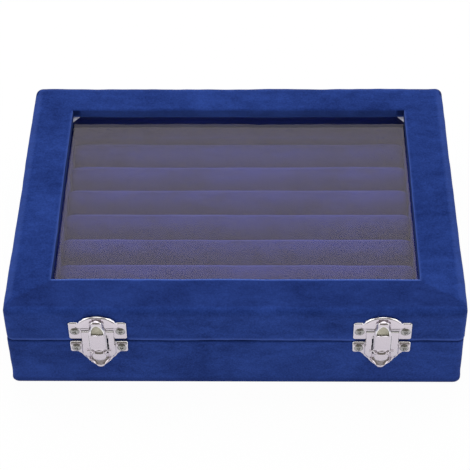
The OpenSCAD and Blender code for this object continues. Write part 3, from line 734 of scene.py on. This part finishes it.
# A bar with a crowned top whose ends draw in
def makeRollBlank(low, high, plan):
    inset = plan["startInset"]
    r = (high.y - low.y) / 2 - inset
    base, top, half = low.z + 0.2, high.z - inset, (high.x - low.x) / 2 - inset
    n = plan["around"] // 2
    turns = [math.pi * i / n for i in range(n + 1)]
    section = [(r * math.cos(a), top - r + r * math.sin(a)) for a in turns]
    section += [(-r, z) for z in spread(top - r, base, 2.4)[1:]]
    section += [(y, base) for y in spread(-r, r, 3)[1:-1]]
    section += [(r, z) for z in spread(base, top - r, 2.4)[:-1]]
    points = []
    stations = [half * math.sin(math.pi / 2 * t) for t in spread(-1, 1, 2 / plan["along"])]
    for x in stations:
        left = half - abs(x)
        draw = math.sqrt(max(0.0, 1 - max(0.0, 1 - left / plan["endRadius"]) ** 2))
        for y, z in section:
            points.append((x, y * (0.95 + 0.05 * draw), base + (z - base) * (0.93 + 0.07 * draw)))
    m, total = len(section), len(points)
    faces = joinRings(len(stations), m) + [tuple(range(m))[::-1], tuple(range(total - m, total))]
    return reshape(linkMesh("roll_blank", points, faces))


# Blows the cover up like a stuffed one, then holds it to the room it has
def stuffRoll(thing, plan):
    remesh = thing.modifiers.new("remesh", "REMESH")
    remesh.mode = "VOXEL"
    remesh.voxel_size = plan["voxel"] * mm
    flatten(thing)
    before = [v.co.copy() for v in thing.data.vertices]
    cloth = thing.modifiers.new("cloth", "CLOTH")
    cloth.settings.use_pressure = True
    cloth.settings.uniform_pressure_force = plan["pressure"]
    cloth.settings.effector_weights.gravity = 0
    cloth.point_cache.frame_start, cloth.point_cache.frame_end = 1, plan["frames"]
    for number in range(1, plan["frames"] + 1):
        bpy.context.scene.frame_set(number)
    flatten(thing)
    bpy.context.scene.frame_set(1)
    for v, start in zip(thing.data.vertices, before):
        move = v.co - start
        if move.length > plan["cap"] * mm:
            v.co = start + move.normalized() * plan["cap"] * mm
    thing.data.update()
    return thing


def makeRolls(plan):
    low, high = sizeOf("roll_velvet_4")
    blank = stuffRoll(makeRollBlank(low, high, plan), plan)
    smooth = blank.modifiers.new("smooth", "SUBSURF")
    smooth.levels = smooth.render_levels = 1
    flatten(blank)
    half, mid, width = (high.x - low.x) / 2, (high.y + low.y) / 2, (high.y - low.y) / 2
    source = blank.data
    bpy.data.objects.remove(blank)
    reach = half + borderPlan["rollReach"]
    for i in range(1, plan["count"] + 1):
        low, high = sizeOf(f"roll_velvet_{i}")
        middle = (low.y + high.y) / 2
        mesh = source.copy()
        roll = addObject(f"roll_{i}", mesh)
        soften(roll, 20, 0.25, 20 + i)
        soften(roll, 6, 0.08, 30 + i)
        tones = []
        for v in mesh.vertices:
            v.co.x = max(-reach * mm, min(reach * mm, v.co.x * (reach + plan["endStretch"]) / half))
            v.co.y = max(-width * mm, min(width * mm, v.co.y - mid * mm)) + middle * mm
            v.co.z = max((low.z + 0.05) * mm, min((high.z + 0.3) * mm, v.co.z))
            # a painted sheen highlight along the back of each roll's crest
            behind = (v.co.y / mm - middle - plan["crest"]) / plan["crestWidth"]
            tones.append(0.5 * math.exp(-behind ** 2) if v.co.z > 20 * mm else 0.0)
        mesh.update()
        mark(roll, "painted_light_and_shade", tones)
        place(roll, innerVelvet, "base", "inner_velvet", f"roll_velvet_{i}", f"roll_foam_{i}")


makeRolls(rollPlan)
print("ring rolls stuffed")


# Smooth step from 0 at a to 1 at b
def step(a, b, x):
    t = np.clip((x - a) / (b - a), 0, 1)
    return t * t * (3 - 2 * t)


# The higher of two surfaces, blended where they meet
def softMax(a, b, k):
    h = np.clip(0.5 + 0.5 * (a - b) / k, 0, 1)
    return b + (a - b) * h + k * h * (1 - h)


# Points along a closed outline
def walk(loop, pitch):
    found = []
    for (x0, z0), (x1, z1) in zip(loop, loop[1:] + loop[:1]):
        n = max(1, math.ceil(math.hypot(x1 - x0, z1 - z0) / pitch))
        found += [(x0 + (x1 - x0) * i / n, z0 + (z1 - z0) * i / n) for i in range(n)]
    return found


# How far each point is from the nearest of some outlines
def awayFrom(points, loops):
    away = np.full(len(points), 1e9)
    for loop in loops:
        a = np.array(loop)
        b = np.roll(a, -1, axis=0)
        for p0, p1 in zip(a, b):
            d = p1 - p0
            t = np.clip(((points - p0) @ d) / max(d @ d, 1e-12), 0, 1)
            away = np.minimum(away, np.linalg.norm(points - p0 - t[:, None] * d, axis=1))
    return away


# Which points lie inside an outline
def inside(points, loop):
    x, z = points[:, 0], points[:, 1]
    odd = np.zeros(len(points), bool)
    for (x0, z0), (x1, z1) in zip(loop, loop[1:] + loop[:1]):
        if z0 == z1:
            continue
        odd ^= ((z0 > z) != (z1 > z)) & (x < (x1 - x0) * (z - z0) / (z1 - z0) + x0)
    return odd


# Sheet metal pressed to a shape: an outline with holes, given in x and z, whose face stands out
# from the velvet by height(x, z), and whose edges are rounded over. Its rim is marked for a painted
# highlight, and so is what shine(x, z) gives.
def pressSheet(name, outline, holes, height, plan, middle, shine=None):
    pitch, edge, shapes = plan["pitch"], plan["edge"], [outline, *holes]
    loops = [walk(shape, pitch) for shape in shapes]
    rim, links = [], []
    for loop in loops:
        n = len(rim)
        rim += loop
        links += [(n + i, n + (i + 1) % len(loop)) for i in range(len(loop))]
    rim = np.array(rim)
    xs = np.arange(rim[:, 0].min(), rim[:, 0].max(), pitch)
    zs = np.arange(rim[:, 1].min(), rim[:, 1].max(), pitch * 0.866)
    grid = np.array([(x + (pitch / 2 if k % 2 else 0), z) for k, z in enumerate(zs) for x in xs])

    def within(points):
        found = inside(points, outline)
        for hole in holes:
            found &= ~inside(points, hole)
        return found

    grid = grid[within(grid)]
    grid = grid[awayFrom(grid, shapes) > edge * 1.25]
    rows = []
    for loop in loops:
        a = np.array(loop)
        along = np.roll(a, -1, axis=0) - np.roll(a, 1, axis=0)
        along /= np.linalg.norm(along, axis=1)[:, None]
        side = np.stack([-along[:, 1], along[:, 0]], axis=1)
        for share in (0.35, 0.95):
            for sign in (1, -1):
                ring = a + side * edge * share * sign
                ring = ring[within(ring)]
                if len(ring):
                    rows.append(ring[awayFrom(ring, shapes) > edge * share * 0.85])
    flat = np.concatenate([rim, *rows, grid])
    made = delaunay_2d_cdt([Vector(p) for p in flat], links, [], 0, 1e-5)
    points = np.array([tuple(p) for p in made[0]])
    keep = within(np.array([points[list(f)].mean(axis=0) for f in made[2]]))
    away = np.minimum(awayFrom(points, [outline]), edge)
    if holes:
        away = np.minimum(away, awayFrom(points, holes) * 1.8)     # holes have the sharper edge
    drop = edge - np.sqrt(np.maximum(0, edge ** 2 - (edge - away) ** 2))
    out = height(points[:, 0], points[:, 1]) - drop
    solid = []
    for f, good in zip(made[2], keep):
        if good:
            a, b, c = (points[i] for i in f)
            turn = (b[0] - a[0]) * (c[1] - a[1]) - (b[1] - a[1]) * (c[0] - a[0])
            solid.append(tuple(f) if turn > 0 else tuple(f)[::-1])
    thing = linkMesh(name, [(x + middle, -halfDeep - o, z) for (x, z), o in zip(points, out)], solid)
    bright = 1 - away / edge
    if shine:
        bright = np.maximum(bright, shine(points[:, 0], points[:, 1]))
    mark(thing, "rim", bright)
    return thicken(thing, plan["thickness"], 48)


# Points along part of a circle, between two angles in degrees
def arc(cx, cz, r, a0, a1, steps):
    angles = [math.radians(a0 + (a1 - a0) * i / steps) for i in range(steps + 1)]
    return [(cx + r * math.cos(a), cz + r * math.sin(a)) for a in angles]


# The other half of an outline that starts and ends on the middle line
def mirrored(half):
    return half + [(-x, z) for x, z in reversed(half) if abs(x) > 1e-6]


latchPlan = {
    "sheet": 0.8,         # how far the ears stand out from the velvet
    "raised": 1.9,        # and the dome and the channel of the lever
    "earHalf": 12.6,
    "earRadius": 0.9,
    "panelHalf": 7.3,
    "slotNear": 4.45,     # the slot beside the lever is wider on the side nearer the middle of the box
    "slotFar": 3.84,
    "domeRadius": 10.3,
    "tipRadius": 1.9,
    "thickness": 0.55,
    "pitch": 0.42,
    "edge": 0.42,
}


# Lid plate: two flat ears and a raised dome that falls away to the velvet round its rim
def makeLidPlate(name, middle, plan):
    low, high = sizeOf("lid_plate_left")
    half, r, dome, raised = (plan[k] for k in ("earHalf", "earRadius", "domeRadius", "raised"))
    earLow, earTop = low.z - 0.35, low.z + 9.6
    centre = high.z - dome
    groove = lidZ + 9.9
    meet = math.sqrt(dome ** 2 - (earTop - centre) ** 2)
    right = [(0, earLow), *arc(half - r, earLow + r, r, -90, 0, 4), *arc(half - r, earTop - r, r, 0, 90, 4)]
    start = math.degrees(math.atan2(earTop - centre, meet))
    right += [(meet + 0.3, earTop), *arc(0, centre, dome, start + 1, 90, 18)]

    def height(x, z):
        wide = np.abs(x)
        far = np.hypot(x, z - centre)
        ear = plan["sheet"] + 0.5 * step(groove - 2.3, groove - 1.8, z) * step(7.4, 7.0, wide)
        notch = np.clip((z - earTop + 1.15) / 1.0, 0, 1) * step(7.6, 8.4, wide) * step(11.9, 11.2, wide)
        ear = ear - 0.72 * notch
        fall = (0.62 + 0.345 * step(3.2, 7.4, wide)) * np.clip((far - dome + 2.1) / 2.1, 0, 1)
        bowl = raised - 1.75 * (1 - np.sqrt(1 - fall ** 2)) + 0.14 * step(9, 3, far)
        bowl = bowl - 2.2 * (1 - step(groove - 2.2, groove + 0.6, z))
        return softMax(np.where((wide > 7.2) | (z < earTop), ear, 0.1), bowl, 0.45)

    return pressSheet(name, mirrored(right), [], height, plan, middle)


# Catch plate: ears whose tops lean back, a raised channel for the lever and a dished point below
def makeCatchPlate(name, middle, toward, plan):
    half, r, panel, raised, end = (plan[k] for k in (
        "earHalf", "earRadius", "panelHalf", "raised", "tipRadius"))
    low, high = sizeOf("catch_plate_left")
    earTop, earLow, top, tip = rimZ - 0.05, rimZ - 5.7, high.z, low.z + 0.8
    right = [(0, tip), *arc(0, tip + end, end, -75, -25, 4)]
    point = ((2.6, 2.2), (4.6, 4.2), (5.7, 5.3), (6.6, 5.8), (7.2, 6.5), (7.8, 7.7))
    right += [(x, tip + z) for x, z in point]
    right += [(9.4, earLow), *arc(half - r, earLow + r, r, -90, 0, 4),
              *arc(half - r, earTop - r, r, 0, 90, 4), (panel, earTop),
              *arc(panel - 0.5, top - 0.5, 0.5, 0, 90, 3), (0, top)]
    outline = mirrored(right)
    near, far = plan["slotNear"] * toward, -plan["slotFar"] * toward
    hole = [(far * 0.8, rimZ - 6.4), (near * 0.82, rimZ - 6.4), (near * 0.84, rimZ - 5.0),
            (near * 0.98, rimZ - 4.4), (near, rimZ - 0.6), (near * 0.96, rimZ + 0.6),
            (near * 0.98, rimZ + 3.2), (near, top - 2.2), (far, top - 2.2), (far, rimZ - 5.8)]

    def height(x, z):
        wide = np.abs(x)
        ear = plan["sheet"] + 0.15 - 0.83 * np.clip((z - earTop + 1.85) / 1.8, 0, 1)
        side = step(panel + 0.35, panel - 0.35, wide + 1.2 * step(21.5, 18.5, z))
        ramp = step(rimZ - 10.2, rimZ - 6.6, z)
        body = ear + (raised - ear) * side * ramp
        rimAway = awayFrom(np.stack([x, z], axis=1), [outline])
        lower = step(rimZ - 8.9, rimZ - 11.2, z)
        dish = 2.1 - np.clip(0.49 * (z - tip - 1.0), -0.1, 2.0)
        room = np.minimum(0.25 + 0.68 * (z - rimZ + 9.6), 1.2 + 0.2 * (z - rimZ + 7))
        room = np.maximum(dish, room)    # the pressed thumb end swings in here
        dish = 2.0 + (dish - 2.0) * step(0.35, 0.8, rimAway)
        body = body + lower * (dish - body)
        under = step(4.25, 3.9, wide) * step(rimZ - 11.2, rimZ - 10.4, z) * step(rimZ - 3.9, rimZ - 4.5, z)
        return body - under * np.maximum(0, body - room)

    return pressSheet(name, outline, [hole], height, plan, middle)


leverPlan = {
    "thickness": 0.5,
    "pitch": 0.34,
    "edge": 0.28,
    "pivotDown": 3.7,    # the pin lies this far below the rim of the base
    "thumbRadius": 3.1,
    "peak": 4.1,         # how far the hood stands out
    "hoodHalf": 3.4,
    "hoodTop": 16.25,    # above the rim of the base, like the heights below
    "doorLow": 6.9,
    "doorTop": 13.9,
}


# Lever: rounded thumb end, knuckle with its slot, flat shank bent back along the side nearer the
# middle of the box, and a hood with a doorway
def makeLever(name, middle, toward, plan):
    low, end, top = sizeOf("latch_lever_left")[0].z, plan["thumbRadius"], rimZ + plan["hoodTop"]
    pivot = rimZ - plan["pivotDown"]
    right = [(0, low), *arc(0, low + end, end, -80, 0, 10), (3.3, pivot - 1.0), (3.72, pivot + 1.2),
             (3.75, rimZ + 6.8), (3.68, rimZ + 9.2), (3.52, rimZ + 11.2),
             *arc(0, top - plan["hoodHalf"], plan["hoodHalf"], 0, 90, 9)]
    sill, apex = rimZ + plan["doorLow"], rimZ + plan["doorTop"]
    door = mirrored([(0, sill), (2.65, sill), (2.58, sill + 1.5), (2.3, apex - 3.3), (1.85, apex - 2.1),
                     (1.25, apex - 1.0), (0.6, apex - 0.3), (0, apex)])

    def height(x, z):
        wide = np.abs(x)
        over = np.clip(z - top + 1.5, 0, 1.5)
        crown = plan["peak"] - 1.5 + np.sqrt(np.maximum(2.25 - over ** 2, 0.02))
        flank = 1.25 * (np.sqrt(np.maximum(0, wide - 1.9) ** 2 + 0.16) - 0.4) + 0.05 * x ** 2
        hood = np.maximum(crown - flank, 1.7)
        gap = np.minimum(awayFrom(np.stack([x, z], axis=1), [door]), 0.6)
        hood = hood - (0.6 - np.sqrt(np.maximum(0, 0.36 - (0.6 - gap) ** 2))) * 0.7
        lift = step(rimZ + 6.4, rimZ + 11.0, z)
        bend = step(3.05, 3.75, x * toward) * (1 - lift) * step(pivot + 0.6, pivot + 1.4, z)
        shank = 3.0 - 0.06 * step(2.6, 3.75, wide) - bend
        thumb = 3.4 - 0.05 * x ** 2 - 0.5 * step(low + 1.6, low, z)
        knuckle = 1.85 + np.sqrt(np.maximum(1.5 ** 2 - (z - pivot) ** 2, 0.2))
        body = thumb + (shank - thumb) * step(pivot + 0.9, pivot + 2.0, z)
        body = softMax(body, knuckle, 0.2)
        slot = step(2.05, 1.9, wide) * step(0.95, 0.82, np.abs(z - pivot))
        tab = step(1.15, 1.0, wide) * step(0.38, 0.28, np.abs(z - pivot + 0.2))
        body = body + slot * (3.0 - 0.62 * (z - pivot + 1) * (1 - tab) - 0.4 * tab - body)
        dot = 1 - ((wide - 2.75) / 0.5) ** 2 - ((z - pivot + 0.3) / 0.6) ** 2
        body = body + 0.75 * np.sqrt(np.maximum(0, dot))
        pinch = step(2.05, 2.3, wide) * step(3.4, 3.1, wide)
        pinch = pinch * (step(pivot - 0.15, pivot + 0.15, z) - step(pivot + 0.5, pivot + 1.6, z))
        body = body - 0.75 * pinch
        return body + (hood - body) * lift

    # A painted highlight along the edge of the doorway
    def shine(x, z):
        away = awayFrom(np.stack([x, z], axis=1), [door])
        return step(0.75, 0.35, away) * step(sill + 1.0, sill + 2.2, z)

    return pressSheet(name, mirrored(right), [door], height, plan, middle, shine)


hookPlan = {
    "thickness": 0.4,
    "pitch": 0.45,
    "edge": 0.2,
    "foot": 2.35,        # how far its foot stands out, and its top less by the lean
    "lean": 0.4,
}


# Hook of the lid plate, seen through the doorway of the hood
def makeHook(name, middle, plan):
    low, high = rimZ + leverPlan["doorLow"] - 0.7, rimZ + leverPlan["doorTop"] + 0.6
    right = [(0, low), (2.9, low), (3.2, low + 0.4), (3.2, high - 2.4), (2.4, high - 0.6), (1.4, high),
             (0, high)]

    def height(x, z):
        return plan["foot"] - plan["lean"] * step(low, high, z) - 0.02 * x ** 2

    return pressSheet(name, mirrored(right), [], height, plan, middle)


screwPlan = {
    "headRadius": 2.2,
    "headHeight": 1.05,
    "shankRadius": 0.9,
    "shankLength": 7.2,
    "recessHalf": 0.24,
    "recessReach": 1.15,
    "recessDepth": 0.5,
    "around": 40,
    "size": 1.0,
    "turn": 0.9,
    "seed": 4,
    "apart": 9.9,       # from the middle of the latch
    "lidUp": 7.0,       # above the lower edge of the lid
    "catchDown": 3.1,   # below the rim of the base
}


# A cross-head screw at the origin whose head faces -y
def makeScrew(name, plan):
    radius, high, shank, length, around = (plan[k] for k in (
        "headRadius", "headHeight", "shankRadius", "shankLength", "around"))
    crown = (radius ** 2 + high ** 2) / (2 * high)

    def out(x, z):
        face = math.sqrt(max(0, crown ** 2 - math.hypot(x, z) ** 2)) - crown + high
        for across, along in ((x, z), (z, x)):
            if abs(across) < plan["recessHalf"] and abs(along) < plan["recessReach"]:
                face = min(face, high - plan["recessDepth"])
        return max(face, 0.02)

    ring = [(math.cos(2 * math.pi * i / around), math.sin(2 * math.pi * i / around)) for i in range(around)]
    head = [radius * math.sin(math.pi / 2 * t) for t in spread(0, 1, 1 / 9)[1:]]
    tail = [(radius, 0.0), (shank, 0.02), (shank, length - 1.2), (0.12, length)]
    points = [(0, -out(0, 0), 0)]
    points += [(r * c, -out(r * c, r * s), r * s) for r in head for c, s in ring]
    points += [(r * c, y, r * s) for r, y in tail for c, s in ring]
    faces = [(0, 1 + i, 1 + (i + 1) % around) for i in range(around)]
    faces += joinRings(len(head) + len(tail), around, 1)
    faces.append(tuple(range(len(points) - around, len(points)))[::-1])
    return reshape(linkMesh(name, points, faces))


# Sets one screw on each place, each turned a little differently
def screwTree():
    tree = bpy.data.node_groups.new("screws in place", "GeometryNodeTree")
    for label, kind in (("Places", "Geometry"), ("Screw", "Object"), ("Size", "Float"), ("Turn", "Float"),
                        ("Seed", "Int"), ("Finish", "Material")):
        tree.interface.new_socket(label, in_out="INPUT", socket_type="NodeSocket" + kind)
    tree.interface.new_socket("Screws", in_out="OUTPUT", socket_type="NodeSocketGeometry")
    given = addNode(tree, "NodeGroupInput").outputs
    back = calculate(tree, "MULTIPLY", given["Turn"], -1.0)
    angle = addNode(tree, "FunctionNodeRandomValue", {2: back, 3: given["Turn"], "Seed": given["Seed"]},
                    data_type="FLOAT")
    turn = addNode(tree, "ShaderNodeCombineXYZ", {"Y": angle})
    screw = addNode(tree, "GeometryNodeObjectInfo", {"Object": given["Screw"]})
    points = addNode(tree, "GeometryNodeMeshToPoints", {"Mesh": given["Places"]})
    screws = addNode(tree, "GeometryNodeInstanceOnPoints", {
        "Points": points, "Instance": screw.outputs["Geometry"], "Rotation": turn, "Scale": given["Size"]})
    real = addNode(tree, "GeometryNodeRealizeInstances", {"Geometry": screws})
    done = addNode(tree, "GeometryNodeSetMaterial", {"Geometry": real, "Material": given["Finish"]})
    addNode(tree, "NodeGroupOutput", {"Screws": done})
    return tree


def setScrews(name, tree, screw, places, finish, plan, body, node):
    thing = linkMesh(name, places, [])
    maker = thing.modifiers.new("screws", "NODES")
    maker.node_group = tree
    values = {"Screw": screw, "Size": plan["size"], "Turn": plan["turn"], "Seed": plan["seed"],
              "Finish": finish}
    for item in tree.interface.items_tree:
        if item.in_out == "INPUT" and item.name in values:
            maker[item.identifier] = values[item.name]
    place(flatten(thing, 50), finish, body, "plain_steel", node)


for side, middle in zip(("left", "right"), latchMiddles):
    toward = math.copysign(1, -middle)     # the way to the middle of the box
    place(makeLidPlate(f"lid_plate_pressed_{side}", middle, latchPlan), nickel, "lid", "latch_plating",
          f"lid_plate_{side}")
    place(makeCatchPlate(f"catch_plate_pressed_{side}", middle, toward, latchPlan), nickel, "base",
          "latch_plating", f"catch_plate_{side}")
    place(makeLever(f"lever_pressed_{side}", middle, toward, leverPlan), nickel, f"lever_{side}",
          "latch_plating", f"latch_lever_{side}")
    place(makeHook(f"hook_{side}", middle, hookPlan), dullNickel, "lid", "latch_plating")
print("latches pressed")

screwMaker = screwTree()


def makeLatchScrews(plan):
    screw = makeScrew("screw", plan)
    face = -halfDeep - latchPlan["sheet"] + 0.02
    for name, body, z, node in (
            ("lid_plate_screw_set", "lid", lidZ + plan["lidUp"], "lid_plate_screws"),
            ("catch_screw_set", "base", rimZ - plan["catchDown"], "catch_screws")):
        places = [(m + s * plan["apart"], face, z) for m in latchMiddles for s in (-1, 1)]
        setScrews(name, screwMaker, screw, places, screwSteel, plan, body, node)
    bpy.data.objects.remove(screw)


makeLatchScrews(screwPlan)

hingePlan = {
    **screwPlan,
    "headRadius": 1.5,
    "headHeight": 0.55,
    "shankRadius": 0.8,
    "shankLength": 6.0,
    "recessHalf": 0.2,
    "recessReach": 0.95,
    "recessDepth": 0.3,
    "seed": 9,
    "inset": 3.2,      # from the end of the leaf
    "edge": 3.4,       # from its upper or lower edge
}


def makeHingeScrews(plan):
    screw = makeScrew("hinge_screw", plan)
    screw.data.transform(Matrix.Rotation(math.pi, 4, "Z"))
    low, high = sizeOf("hinge_lid_leaf_right")
    pinLow, pinHigh = sizeOf("hinge_pin_right")
    pivotZ = (rimZ + lidZ) / 2
    drop = high.z - pivotZ - plan["edge"]
    middle, reach = (low.x + high.x) / 2, (pinHigh.x - pinLow.x) / 2 - plan["inset"]
    back = halfDeep + latchPlan["sheet"]
    for body, way in (("lid", 1), ("base", -1)):
        places = [(m + s * reach, back, pivotZ + way * drop) for m in (-middle, middle) for s in (-1, 1)]
        node = f"hinge_{body}_screws"
        setScrews(node + "_set", screwMaker, screw, places, hingeSteel, plan, body, node)
    bpy.data.objects.remove(screw)


makeHingeScrews(hingePlan)
print("screws set")

# CAD pieces that show as they are get their finish by the start of their name
finishes = {
    "glass_pane": glass,
    "insert_board": paleCard,
    "hinge": hingeSteel,
    "lever_pin": nickel,
    "catch_spring": springSteel,
}
for node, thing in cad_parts.items():
    if not thing.hide_render:
        thing.data.materials.clear()
        thing.data.materials.append(next((f for n, f in finishes.items() if node.startswith(n)), rawBoard))

print("finished")
